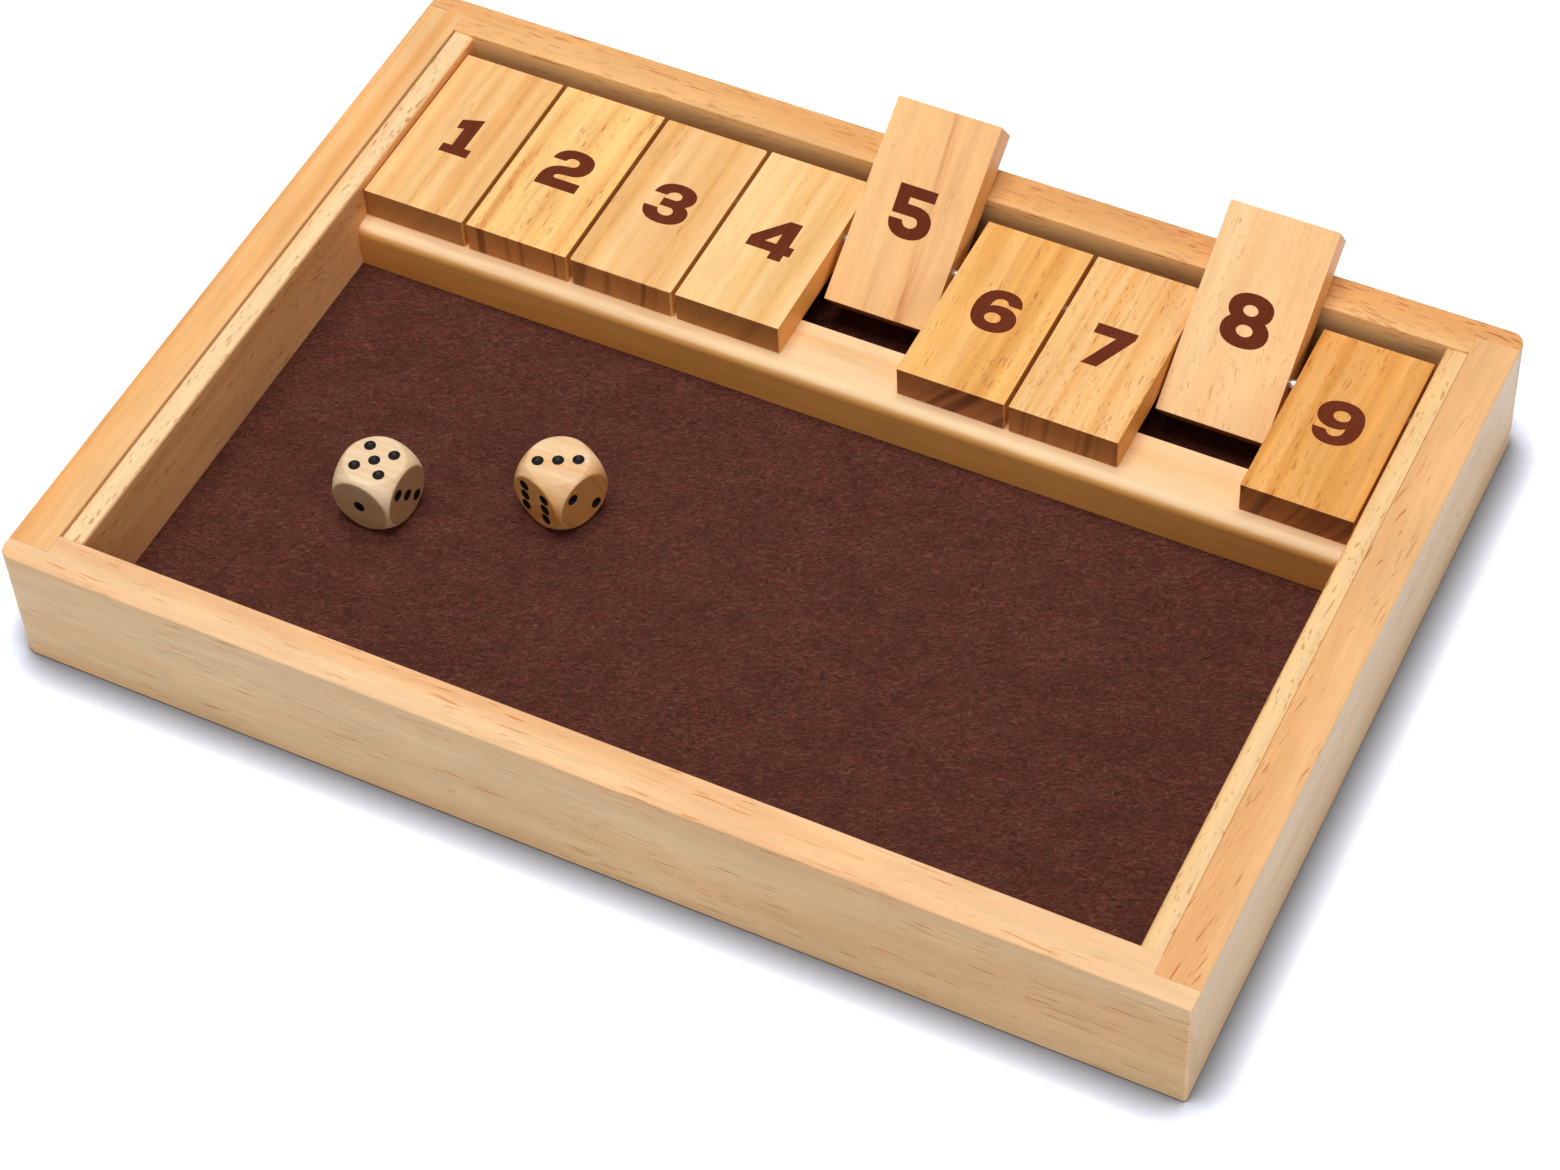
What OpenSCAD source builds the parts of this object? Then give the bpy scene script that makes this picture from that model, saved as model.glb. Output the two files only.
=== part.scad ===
// Number-tile dice game: an open wooden tray with nine flip tiles on a steel rod, and two dice.
// Origin at the middle of the frame's footprint, on the surface it stands on.
// +X to the right along the tile row, +Y towards the tiles, +Z up.

/* [Frame] */
// Outside depth of the frame, front to back
frame_d = 200; // [180:1:230]
// Height of the four rails
frame_h = 34.5; // [33.5:0.5:42]
// Thickness of each rail
rail_t = 10.4; // [9:0.2:13]
// Thickness of the lip on the front and back rails that covers the ends of the side rails
lip_t = 5.2; // [4:0.2:7]
// Radius of the upright outer corners, apart from the one at the front right
corner_r = 3.5; // [1:0.5:5]
// Radius of the crisper upright outer corner at the front right
crisp_corner_r = 1; // [0.5:0.5:5]

/* [Floor] */
// Height of the base board above the surface the game stands on
board_z = 6.2; // [5:0.1:8]
// Thickness of the base board
board_t = 3; // [2:0.5:4]
// Depth of the groove in each rail that holds the base board
groove_depth = 3.5; // [2:0.5:4.5]
// Clearance round the base board in its grooves
groove_gap = 0.2; // [0.1:0.1:0.4]
// Thickness of the felt glued on the base board
felt_t = 1; // [0.5:0.1:1.5]

/* [Side strips] */
// Thickness of the two strips that line the side rails
strip_t = 5.4; // [4.5:0.1:8]
// Drop from the rim to the top of a strip
strip_drop = 0.9; // [0.6:0.1:3]
// Radius of the upper inner edge of a strip
strip_r = 1.2; // [0.5:0.1:3]

/* [Tiles] */
// Width of a tile, along the rod
tile_w = 27; // [24:0.5:32]
// Length of a tile
tile_len = 51.6; // [46:0.2:56]
// Thickness of a tile
tile_t = 8.4; // [7.4:0.1:9]
// Gap between neighbouring tiles, and between an end tile and its strip
tile_gap = 1.14; // [0.6:0.01:2]
// Drop from the rim to the top of a tile that lies flat
tile_drop = 3.4; // [2.4:0.1:4]
// Gap between the tiles and the back rail
tile_back_gap = 3.6; // [3:0.1:6]
// Clearance left under a tile at each end of its swing
rest_gap = 0.1; // [0.05:0.05:0.3]
// Numbers of the tiles that stand raised
raised = [5, 8];
// How far each tile has slid along the rod, within the gaps beside it
tile_slide = [-0.9, -0.9, -1, -1, -0.8, 0, 0, -0.6, 0.1];

/* [Hinge rod] */
// Diameter of the steel rod
rod_dia = 3; // [2:0.1:4]
// Distance from a tile's back end to its rod hole
rod_from_back = 15.5; // [14:0.1:16]
// Radial clearance of the rod in a tile
tile_hole_gap = 0.1; // [0.05:0.01:0.1]
// Radial clearance of the rod in a strip
strip_hole_gap = 0.05; // [0.02:0.01:0.1]
// End play of the rod between the two side rails
rod_play = 0.4; // [0.2:0.1:1]
// Chamfer on the ends of the rod
rod_chamfer = 0.4; // [0.2:0.1:0.6]

/* [Divider] */
// Depth of the divider bar, front to back
divider_d = 16.8; // [12:0.2:20]
// How far the divider shows in front of the flat tiles
divider_ledge = 4.9; // [3:0.1:8]
// Radius of the upper front edge of the divider
divider_r = 3; // [1:0.5:4]

/* [Dice] */
// Length of a die's edge, before its corners are turned
die_edge = 16; // [14:0.5:18]
// Diameter of the ball that rounds a die's corners
die_ball = 21.4; // [20.5:0.1:22.5]
// Diameter of a pip
pip_dia = 2.8; // [1.5:0.1:3]
// Depth of a pip
pip_depth = 0.5; // [0.3:0.1:0.8]
// Distance from a face's middle line to its outer pips
pip_offset = 3.3; // [2.5:0.1:3.6]
// Place of the left die on the felt
left_die_xy = [-84, -35.7];
// Turn of the left die, in degrees
left_die_turn = -3; // [-45:1:45]
// Place of the right die on the felt
right_die_xy = [-45.6, -18.4];
// Turn of the right die, in degrees
right_die_turn = -19; // [-45:1:45]

/* [Hidden] */
TILE_COUNT = 9;
$fn = 96;

// Overlap that keeps a cutter's faces off the faces it cuts
eps = 0.5;

// The row of tiles sets the width of the tray, and so of the whole frame
tray_w = TILE_COUNT * tile_w + (TILE_COUNT + 1) * tile_gap;
inner_w = tray_w + 2 * strip_t;
frame_w = inner_w + 2 * rail_t;
inner_d = frame_d - 2 * rail_t;
inner_back_y = inner_d / 2;

// Heights of the layers, from the base board up to the tiles
felt_z = board_z + board_t;
floor_z = felt_z + felt_t;
tile_top_z = frame_h - tile_drop;
tile_under_z = tile_top_z - tile_t;
strip_top_z = frame_h - strip_drop;
divider_top_z = tile_under_z - rest_gap;

// The tiles, the rod through them and the divider they rest on
tile_back_y = inner_back_y - tile_back_gap;
tile_front_y = tile_back_y - tile_len;
tile_pitch = tile_w + tile_gap;
rod_y = tile_back_y - rod_from_back;
rod_z = tile_under_z + tile_t / 2;
divider_front_y = tile_front_y - divider_ledge;

// A raised tile leans on the inner top edge of the back rail
lean_y = inner_back_y - rod_y;
lean_z = frame_h - rod_z;
lean_reach = norm([lean_y, lean_z]);
lean_slope = atan2(lean_z, lean_y) + asin((tile_t / 2 + rest_gap) / lean_reach);
raise_angle = 180 - lean_slope;

// A pip is a cap of a ball, of the pip's diameter and depth
pip_ball_r = (pow(pip_dia / 2, 2) + pow(pip_depth, 2)) / (2 * pip_depth);
// Places of the pips of each face value, in steps of the pip offset
PIPS = [
    [[0, 0]],
    [[-1, 1], [1, -1]],
    [[-1, 1], [0, 0], [1, -1]],
    [[-1, -1], [-1, 1], [1, -1], [1, 1]],
    [[-1, -1], [-1, 1], [0, 0], [1, -1], [1, 1]],
    [[-1, -1], [-1, 0], [-1, 1], [1, -1], [1, 0], [1, 1]]
];
// Turns that bring the upper face of a die to its top, front, right, left, back and under side
FACE_TURNS = [[0, 0, 90], [90, 0, 0], [90, 0, 90], [90, 0, -90], [90, 0, 180], [180, 0, 0]];

module box_at(low, high) {
    translate(low) cube(high - low);
}

// What is cut from an upright corner at the origin, whose wood lies towards +X and +Y
module corner_waste(radius, height) {
    difference() {
        translate([-eps, -eps, -eps]) cube([radius + eps, radius + eps, height + 2 * eps]);
        translate([radius, radius, -2 * eps]) cylinder(r=radius, h=height + 4 * eps);
    }
}

// The four upright corners of the frame, and the groove for the base board
module frame_waste(front_right_r = corner_r) {
    for (side_x = [0, 1])
        for (side_y = [0, 1])
            mirror([side_x, 0, 0])
                mirror([0, side_y, 0])
                    translate([-frame_w / 2, -frame_d / 2, 0])
                        corner_waste(side_x == 1 && side_y == 0 ? front_right_r : corner_r, frame_h);
    reach = groove_depth + groove_gap;
    box_at(
        [-inner_w / 2 - reach, -inner_d / 2 - reach, board_z - groove_gap / 2],
        [inner_w / 2 + reach, inner_d / 2 + reach, felt_z]
    );
}

// The front rail runs the full width. A rabbet at each end leaves a lip over the side rail.
module long_rail(front_right_r = corner_r) {
    difference() {
        box_at([-frame_w / 2, -frame_d / 2, 0], [frame_w / 2, -inner_d / 2, frame_h]);
        for (side = [0, 1])
            mirror([side, 0, 0])
                box_at(
                    [inner_w / 2, -frame_d / 2 + lip_t, -eps],
                    [frame_w / 2 + eps, -inner_d / 2 + eps, frame_h + eps]
                );
        frame_waste(front_right_r);
    }
}

// A side rail stands between the lips of the front and back rails
module short_rail() {
    difference() {
        box_at(
            [inner_w / 2, -frame_d / 2 + lip_t, 0],
            [frame_w / 2, frame_d / 2 - lip_t, frame_h]
        );
        frame_waste();
    }
}

module front_rail() {
    color("burlywood") long_rail(crisp_corner_r);
}

module back_rail() {
    color("burlywood") mirror([0, 1, 0]) long_rail();
}

module right_rail() {
    color("tan") short_rail();
}

module left_rail() {
    color("tan") mirror([1, 0, 0]) short_rail();
}

module base_board() {
    color("peru")
        box_at(
            [-inner_w / 2 - groove_depth, -inner_d / 2 - groove_depth, board_z],
            [inner_w / 2 + groove_depth, inner_d / 2 + groove_depth, felt_z]
        );
}

module felt_lining() {
    color("#56302A")
        box_at([-inner_w / 2, -inner_d / 2, felt_z], [inner_w / 2, inner_d / 2, floor_z]);
}

module rod_hole(radius, length) {
    translate([-length / 2, rod_y, rod_z]) rotate([0, 90, 0]) cylinder(r=radius, h=length);
}

// A strip stands on the felt against a side rail, and carries one end of the rod
module side_strip() {
    difference() {
        box_at([tray_w / 2, -inner_d / 2, floor_z], [inner_w / 2, inner_d / 2, strip_top_z]);
        translate([tray_w / 2, inner_d / 2, strip_top_z])
            rotate([90, 0, 0])
                mirror([0, 1, 0])
                    corner_waste(strip_r, inner_d);
        rod_hole(rod_dia / 2 + strip_hole_gap, inner_w + 2 * eps);
    }
}

module right_strip() {
    color("moccasin") side_strip();
}

module left_strip() {
    color("moccasin") mirror([1, 0, 0]) side_strip();
}

// The divider closes the tile well, and the front ends of the flat tiles rest on it
module divider_bar() {
    color("wheat")
        difference() {
            box_at(
                [-tray_w / 2, divider_front_y, floor_z],
                [tray_w / 2, divider_front_y + divider_d, divider_top_z]
            );
            translate([-tray_w / 2, divider_front_y, divider_top_z])
                rotate([90, 0, 90])
                    mirror([0, 1, 0])
                        corner_waste(divider_r, tray_w);
        }
}

module hinge_rod() {
    rod_len = inner_w - rod_play;
    color("silver")
        translate([-rod_len / 2, rod_y, rod_z])
            rotate([0, 90, 0])
                rotate_extrude()
                    polygon([
                        [0, 0],
                        [rod_dia / 2 - rod_chamfer, 0],
                        [rod_dia / 2, rod_chamfer],
                        [rod_dia / 2, rod_len - rod_chamfer],
                        [rod_dia / 2 - rod_chamfer, rod_len],
                        [0, rod_len]
                    ]);
}

// A tile swings about the rod, from flat on the divider to leaning on the back rail
module tile(number) {
    left_x = -tray_w / 2 + tile_gap + (number - 1) * tile_pitch + tile_slide[number - 1];
    swing = len(search(number, raised)) > 0 ? raise_angle : 0;
    color("sandybrown")
        translate([0, rod_y, rod_z])
            rotate([-swing, 0, 0])
                translate([0, -rod_y, -rod_z])
                    difference() {
                        box_at(
                            [left_x, tile_front_y, tile_under_z],
                            [left_x + tile_w, tile_back_y, tile_top_z]
                        );
                        rod_hole(rod_dia / 2 + tile_hole_gap, inner_w);
                    }
}

// A die is a cube with its corners turned to a ball. The faces are listed as in FACE_TURNS.
module die(place, turn, faces) {
    translate([place.x, place.y, floor_z + die_edge / 2])
        rotate([0, 0, turn])
            difference() {
                intersection() {
                    cube(die_edge, center=true);
                    sphere(d=die_ball);
                }
                for (side = [0:5])
                    rotate(FACE_TURNS[side])
                        for (pip = PIPS[faces[side] - 1])
                            translate([
                                pip.x * pip_offset,
                                pip.y * pip_offset,
                                die_edge / 2 - pip_depth + pip_ball_r
                            ])
                                sphere(r=pip_ball_r);
            }
}

module left_die() {
    color("antiquewhite") die(left_die_xy, left_die_turn, [5, 1, 3, 4, 6, 2]);
}

module right_die() {
    color("navajowhite") die(right_die_xy, right_die_turn, [3, 6, 2, 5, 1, 4]);
}

front_rail();
back_rail();
left_rail();
right_rail();
base_board();
felt_lining();
left_strip();
right_strip();
divider_bar();
hinge_rod();
for (number = [1:TILE_COUNT])
    tile(number);
left_die();
right_die();
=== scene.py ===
"""Looks of a number-tile dice game: a planed wooden tray with nine flip tiles and two dice.

Every length in a class is in millimetres, and every mesh is in metres, in the frame of the CAD model.
"""

import logging
import math
from collections.abc import Callable
from dataclasses import dataclass, field
from enum import Enum
from functools import partial

import bmesh
import bpy
from mathutils import Matrix, Vector


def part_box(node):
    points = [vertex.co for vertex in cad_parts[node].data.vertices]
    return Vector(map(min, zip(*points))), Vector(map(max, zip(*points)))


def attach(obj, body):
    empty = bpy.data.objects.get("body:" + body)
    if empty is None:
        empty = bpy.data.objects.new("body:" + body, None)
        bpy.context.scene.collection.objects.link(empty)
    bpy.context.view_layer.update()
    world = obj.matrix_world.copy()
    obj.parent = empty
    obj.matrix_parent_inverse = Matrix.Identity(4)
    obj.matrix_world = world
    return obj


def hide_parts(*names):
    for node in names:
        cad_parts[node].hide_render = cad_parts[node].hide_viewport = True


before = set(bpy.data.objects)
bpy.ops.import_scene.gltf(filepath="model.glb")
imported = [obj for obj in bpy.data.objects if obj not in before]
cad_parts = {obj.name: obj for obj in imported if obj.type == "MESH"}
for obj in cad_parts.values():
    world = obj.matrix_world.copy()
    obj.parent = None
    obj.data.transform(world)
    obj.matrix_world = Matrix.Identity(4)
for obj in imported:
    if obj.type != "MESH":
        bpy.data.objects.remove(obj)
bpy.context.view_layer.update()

LOG = logging.getLogger("dice_game")
MM = 0.001

# A function that adds nodes to one tree, what a node can be linked from, and the size of a feature
Adder = Callable[..., bpy.types.Node]
Source = bpy.types.Node | bpy.types.NodeSocket
Grain = tuple[float, float, float]
# Settings that many nodes share
SOFT = {"interpolation_type": "SMOOTHSTEP"}
RGBA = {"data_type": "RGBA"}
# Nearly all values of a noise lie between these
LOW, HIGH = 0.3, 0.7


def linear(hex_colour: str) -> tuple[float, float, float, float]:
    """Turn an sRGB hex colour into linear values.

    Args:
        hex_colour: The colour, such as "#F0C48A".

    Returns:
        Red, green, blue and alpha, each from 0 to 1.
    """
    values = [int(hex_colour[i : i + 2], 16) / 255 for i in (1, 3, 5)]
    red, green, blue = (v / 12.92 if v <= 0.04045 else ((v + 0.055) / 1.055) ** 2.4 for v in values)
    return red, green, blue, 1.0


def add_node(tree: bpy.types.NodeTree, kind: str, inputs: dict | tuple = (), **settings) -> bpy.types.Node:
    """Add one node with its settings and links.

    Args:
        tree: The node tree that gets the node.
        kind: The node's type name. That of a shader node goes without the word ShaderNode.
        inputs: Values, sockets, or nodes that stand for their first output in use. They go by input name
            or number, or in the order of the inputs.
        settings: The node's own properties.

    Returns:
        The new node.
    """
    node = tree.nodes.new(kind if "Node" in kind else "ShaderNode" + kind)
    for key, value in settings.items():
        setattr(node, key, value)
    for key, value in inputs.items() if isinstance(inputs, dict) else enumerate(inputs):
        if isinstance(value, bpy.types.Node):
            value = next(socket for socket in value.outputs if socket.enabled)
        if isinstance(value, bpy.types.NodeSocket):
            tree.links.new(value, node.inputs[key])
        else:
            node.inputs[key].default_value = value
    return node


def new_material(name: str) -> tuple[bpy.types.Material, Adder]:
    """Make an empty node material.

    Args:
        name: The material's name.

    Returns:
        The material, and the function that adds nodes to it.
    """
    material = bpy.data.materials.new(name)
    material.use_nodes = True
    material.node_tree.nodes.clear()
    return material, partial(add_node, material.node_tree)


def surface_noise(add: Adder, grain: Grain, detail: float = 2.0, lie: float = 0.0, bend: float = 0.0) -> Source:
    """Noise that lies still on a piece.

    Args:
        add: Adds nodes to the material.
        grain: The size of one feature along x, y and z, in millimetres.
        detail: How many finer layers are added.
        lie: How far the features are turned about z.
        bend: How much they are tangled.

    Returns:
        The noise.
    """
    size = [length * MM for length in grain]
    at = {"Vector": add("TexCoord").outputs["Object"], "Rotation": (0, 0, lie), "Scale": size}
    at = add("Mapping", at, vector_type="TEXTURE")
    return add("TexNoise", {"Vector": at, "Scale": 1.0, "Detail": detail, "Distortion": bend})


def new_group(name: str, sizes: dict[str, float]) -> tuple[bpy.types.NodeTree, Adder]:
    """Make an empty geometry node group.

    Args:
        name: The group's name.
        sizes: Its inputs beside the geometry, by name.

    Returns:
        The group, and the function that adds nodes to it.
    """
    tree = bpy.data.node_groups.new(name, "GeometryNodeTree")
    for way in ("OUTPUT", "INPUT"):
        tree.interface.new_socket("Geometry", in_out=way, socket_type="NodeSocketGeometry")
    for size in sizes:
        tree.interface.new_socket(size, in_out="INPUT", socket_type="NodeSocketFloat")
    return tree, partial(add_node, tree)


def apply_group(piece: bpy.types.Object, tree: bpy.types.NodeTree, sizes: dict[str, float]) -> None:
    """Run a node group on a piece and keep the mesh that it makes.

    Args:
        piece: The piece.
        tree: The node group.
        sizes: The values of its inputs, by name.
    """
    modifier = piece.modifiers.new(tree.name, "NODES")
    modifier.node_group = tree
    for item in tree.interface.items_tree:
        if item.in_out == "INPUT" and item.name in sizes:
            modifier[item.identifier] = sizes[item.name]
    apply_modifiers(piece)


def new_object(name: str, data: bpy.types.ID) -> bpy.types.Object:
    """Put a mesh, a curve, a lamp or a camera in the scene.

    Args:
        name: The object's name.
        data: What it holds.

    Returns:
        The new object, at the origin.
    """
    piece = bpy.data.objects.new(name, data)
    bpy.context.scene.collection.objects.link(piece)
    return piece


def keep_shape(name: str, shape: bmesh.types.BMesh) -> bpy.types.Object:
    """Turn a finished shape into a piece.

    Args:
        name: The piece's name.
        shape: The shape, which is freed.

    Returns:
        The piece.
    """
    mesh = bpy.data.meshes.new(name)
    shape.to_mesh(mesh)
    shape.free()
    return new_object(name, mesh)


def apply_modifiers(piece: bpy.types.Object) -> None:
    """Turn the evaluated object into a plain mesh.

    Args:
        piece: The object, which loses its modifiers.
    """
    depsgraph = bpy.context.evaluated_depsgraph_get()
    evaluated = piece.evaluated_get(depsgraph)
    mesh = bpy.data.meshes.new_from_object(evaluated, preserve_all_data_layers=True, depsgraph=depsgraph)
    piece.modifiers.clear()
    piece.data = mesh


def tie(piece: bpy.types.Object, body: str) -> None:
    """Let a piece ride on a body.

    Args:
        piece: The piece.
        body: The body's name in the part.
    """
    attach(piece, body)
    LOG.info("%s rides on %s", piece.name, body)


def dress(node: str, material: bpy.types.Material) -> None:
    """Give a CAD node, whose shape stays, its material.

    Args:
        node: The node's name.
        material: The material.
    """
    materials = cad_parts[node].data.materials
    materials.clear()
    materials.append(material)


def middle(node: str) -> Vector:
    """The middle of a CAD node's box, in metres."""
    low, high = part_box(node)
    return (low + high) / 2


class Facing(Enum):
    """The side that the front edge of a board faces, as a turn about z. Its fibres run along that edge."""

    FRONT = 0.0
    RIGHT = math.pi / 2
    BACK = math.pi
    LEFT = 3 * math.pi / 2


@dataclass(frozen=True)
class Lay:
    """How a board lies in the model, so that its grain follows it."""

    centre: Vector
    facing: Facing
    lean: float = 0.0

    def turn(self) -> Matrix:
        """The board's rotation."""
        return Matrix.Rotation(self.lean, 3, "X") @ Matrix.Rotation(self.facing.value, 3, "Z")


@dataclass(frozen=True)
class Streak:
    """One darker growth streak: its place across the board, half its width, its strength and its slant."""

    place: float
    width: float
    strength: float
    slant: float = 0.0


@dataclass(frozen=True)
class Flecks:
    """Short brown pores: the room that each one has, how many show, and how far apart their crowds are."""

    length: float = 9.0
    width: float = 0.9
    share: float = 0.3
    strength: float = 0.6
    gathered: float = 0.4
    slant: float = 0.0
    colour: str = "#B8702E"


@dataclass(frozen=True)
class PlanedWood:
    """Rubberwood or pine, planed, sanded and lacquered.

    The eye gets a warm pale ground, lengthwise growth streaks that run on over the board's ends, short
    brown pores, darker end grain that drank the lacquer, and a faint satin sheen.
    """

    name: str
    light: str
    body: str
    streak: str
    # Painted light and shade: tones for the faces at the board's front and back edge, lighter or darker than
    # the wide faces as light falls on them
    side: str = ""
    rear_face_painted_shading: str = ""
    end: str = "#B37743"
    end_dark: str = "#8A5228"
    seed: float = 0.0
    # One year's growth, how dark its line is, and how dark the wide bands are
    ring: float = 5.0
    growth: float = 0.3
    cloud: float = 0.5
    # How far the growth leans through the board, and how far it wanders across
    tilt: float = 0.45
    wander: float = 5.0
    flecks: Flecks = Flecks()
    streaks: tuple[Streak, ...] = ()
    # Place of a dark line across the board, painted shade of the gap at a joint, or 0 for none
    joint: float = 0.0
    joint_gap_shade: str = "#8E5C32"
    # How strongly the figure and the fibres tone the colour, and the roughness
    figure: float = 0.05
    fibre: float = 0.35
    sheen: float = 0.46
    # Length, width and depth of the features of each noise
    wander_grain: Grain = (90, 22, 22)
    patch_grain: Grain = (45, 14, 14)
    figure_grain: Grain = (20, 2.4, 2.4)
    fibre_grain: Grain = (9, 0.5, 0.5)
    crowd_grain: Grain = (24, 5, 5)
    broken_grain: Grain = (20, 1.8, 1)
    band_length: float = 240
    drift_length: float = 500
    # Sizes of the pores, as shares of the room in Flecks, and how their paths bend
    pore_sizes: tuple[float, ...] = (1.0, 0.55)
    bend_grain: Grain = (26, 5, 5)
    bend_reach: Grain = (24, 3.2, 3.2)
    bump: float = 0.04
    # Values between which a share rises: of a noise, of the year's growth, and of how far a face is turned
    ground_rise: tuple[float, float] = (0.38, 0.6)
    cloud_rise: tuple[float, float] = (0.52, 0.74)
    broken_rise: tuple[float, float] = (0.3, 0.62)
    season_rise: tuple[float, float] = (0.2, 0.8)
    season_fall: tuple[float, float] = (0.84, 1.0)
    face_turn: tuple[float, float] = (0.6, 0.95)

    def build(self, lay: Lay) -> bpy.types.Material:
        """Make the material for one board.

        Args:
            lay: How the board lies.

        Returns:
            The material.
        """
        material, add = new_material(self.name)
        turn = lay.turn().to_euler()
        coord = add("TexCoord").outputs
        board = {"Vector": coord["Object"], "Location": lay.centre, "Rotation": turn, "Scale": (MM, MM, MM)}
        board = add("Mapping", board, vector_type="TEXTURE")
        wander = self.noise(add, board, self.wander_grain, 1.0)
        wander = add("MapRange", (wander, 0, 1, -self.wander / 2, self.wander / 2))
        split = add("SeparateXYZ", (board,)).outputs
        across = add("Math", (split[2], self.tilt, split[1]), operation="MULTIPLY_ADD")
        across = add("Math", (across, wander))
        rings_at = add("CombineXYZ", (split[0], across))
        fibre_at = add("CombineXYZ", (split[0], across, split[2]))
        rings = self.noise(add, rings_at, (self.band_length, self.ring, 1), 1.3)
        fibre = self.noise(add, fibre_at, self.fibre_grain, 2.0)
        latewood = self.latewood(add, across, split[0], rings, rings_at)

        ground = add("MapRange", (rings, *self.ground_rise), **SOFT)
        colour = add("Mix", {0: ground, 6: linear(self.light), 7: linear(self.body)}, **RGBA)
        colour = add("Mix", {0: latewood, 6: colour, 7: linear(self.streak)}, **RGBA)
        patch = self.noise(add, board, self.patch_grain, 2.0)
        figure = self.noise(add, fibre_at, self.figure_grain, 2.0)
        tone = add("MapRange", (patch, LOW, HIGH, 0.95, 1.05))
        figure = add("MapRange", (figure, LOW, HIGH, 1 - self.figure, 1 + self.figure))
        thread = add("MapRange", (fibre, LOW, HIGH, 1.0 - 0.16 * self.fibre, 1.0 + 0.12 * self.fibre))
        for more in (figure, thread):
            tone = add("Math", (tone, more), operation="MULTIPLY")
        colour = add("VectorMath", {0: colour, 3: tone}, operation="SCALE")
        pores = self.pores(add, fibre_at, split, latewood)
        colour = add("Mix", {0: pores, 6: colour, 7: linear(self.flecks.colour)}, **RGBA)
        # Painted shade: a dark line where the board meets its neighbour in a joint
        if self.joint:
            off = add("Math", (split[1], self.joint), operation="SUBTRACT")
            off = add("Math", (off,), operation="ABSOLUTE")
            gap_shade = add("MapRange", (off, 0.1, 0.4, 0.8, 0.0), **SOFT)
            colour = add("Mix", {0: gap_shade, 6: colour, 7: linear(self.joint_gap_shade)}, **RGBA)

        height = add("Math", (pores, -1.0, fibre), operation="MULTIPLY_ADD")
        surface = {
            "Base Color": self.turn_tones(add, colour, coord["Normal"], turn, latewood, thread),
            "Roughness": add("MapRange", (fibre, LOW, HIGH, self.sheen - 0.05, self.sheen + 0.07)),
            "Normal": add("Bump", {"Strength": 0.4, "Distance": self.bump * MM, "Height": height}),
            "IOR": 1.5,
            "Specular IOR Level": 0.22,
        }
        add("OutputMaterial", (add("BsdfPrincipled", surface),))
        return material

    def latewood(self, add: Adder, across: Source, along: Source, rings: Source, rings_at: Source) -> Source:
        """How much of the dark summer growth shows: yearly lines, cloudy bands and the board's own streaks.

        Args:
            add: Adds nodes to the material.
            across: The wandering place across the board, in millimetres.
            along: The place along the board, in millimetres.
            rings: Noise in long bands.
            rings_at: Where in the growth, for more noise.

        Returns:
            A share from 0 to 1.
        """
        drift = self.noise(add, rings_at, (self.drift_length, 5 * self.ring, 1), 1.0)
        year = add("Math", (drift, 4.0, self.seed), operation="MULTIPLY_ADD")
        year = add("Math", (across, 1 / self.ring, year), operation="MULTIPLY_ADD")
        season = add("Math", (year,), operation="FRACT")
        count = add("Math", (year,), operation="FLOOR")
        lot = add("TexWhiteNoise", {"W": count}, noise_dimensions="1D")
        rise = add("MapRange", (season, *self.season_rise), **SOFT)
        fall = add("MapRange", (season, *self.season_fall, 1.0, 0.0), **SOFT)
        line = add("Math", (rise, fall), operation="MULTIPLY")
        lot = add("MapRange", (lot, 0, 1, 0.15 * self.growth, self.growth))
        share = add("Math", (line, lot), operation="MULTIPLY")
        cloud = add("MapRange", (rings, *self.cloud_rise, 0, self.cloud), **SOFT)
        share = add("Math", (share, cloud), use_clamp=True)
        broken = self.noise(add, rings_at, self.broken_grain, 1.5)
        broken = add("MapRange", (broken, *self.broken_rise), **SOFT)
        for streak in self.streaks:
            off = add("Math", (along, streak.slant, streak.place), operation="MULTIPLY_ADD")
            off = add("Math", (across, off), operation="SUBTRACT")
            off = add("Math", (off,), operation="ABSOLUTE")
            mark = add("MapRange", (off, streak.width * 0.2, streak.width, streak.strength, 0), **SOFT)
            mark = add("Math", (mark, broken), operation="MULTIPLY")
            share = add("Math", (share, mark), use_clamp=True)
        return share

    def pores(self, add: Adder, at: Source, split: bpy.types.NodeOutputs, latewood: Source) -> Source:
        """Scattered short pores in loose crowds, and more of them in the dark growth.

        Args:
            add: Adds nodes to the material.
            at: Where in the wood, in millimetres.
            split: The place along, across and through the board.
            latewood: How much dark growth shows.

        Returns:
            A share from 0 to 1.
        """
        flecks = self.flecks
        seeds = (self.seed,) * 3
        bend = add("VectorMath", (at, [1 / g for g in self.bend_grain], seeds), operation="MULTIPLY_ADD")
        bend = add("TexNoise", {"Vector": bend, "Scale": 1.0, "Detail": 2.0}).outputs["Color"]
        slid = add("Math", (split[0], flecks.slant), operation="MULTIPLY")
        slid = add("VectorMath", (at, add("CombineXYZ", {1: slid})))
        slid = add("VectorMath", (bend, self.bend_reach, slid), operation="MULTIPLY_ADD")
        crowd = self.noise(add, at, self.crowd_grain, 2.0)
        ends = (flecks.gathered, flecks.gathered + 0.14, 0, flecks.strength)
        crowd = add("MapRange", (crowd, *ends), **SOFT)
        crowd = add("Math", (latewood, 1.2 * flecks.strength, crowd), operation="MULTIPLY_ADD")
        crowd = add("Math", (crowd, 0.9), operation="MINIMUM")
        found = None
        for size in self.pore_sizes:
            room = [1 / (length * size) for length in (flecks.length, flecks.width, flecks.width)]
            cell = add("VectorMath", (slid, room, seeds), operation="MULTIPLY_ADD")
            dots = add("TexVoronoi", {"Vector": cell, "Scale": 1.0}).outputs
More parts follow.
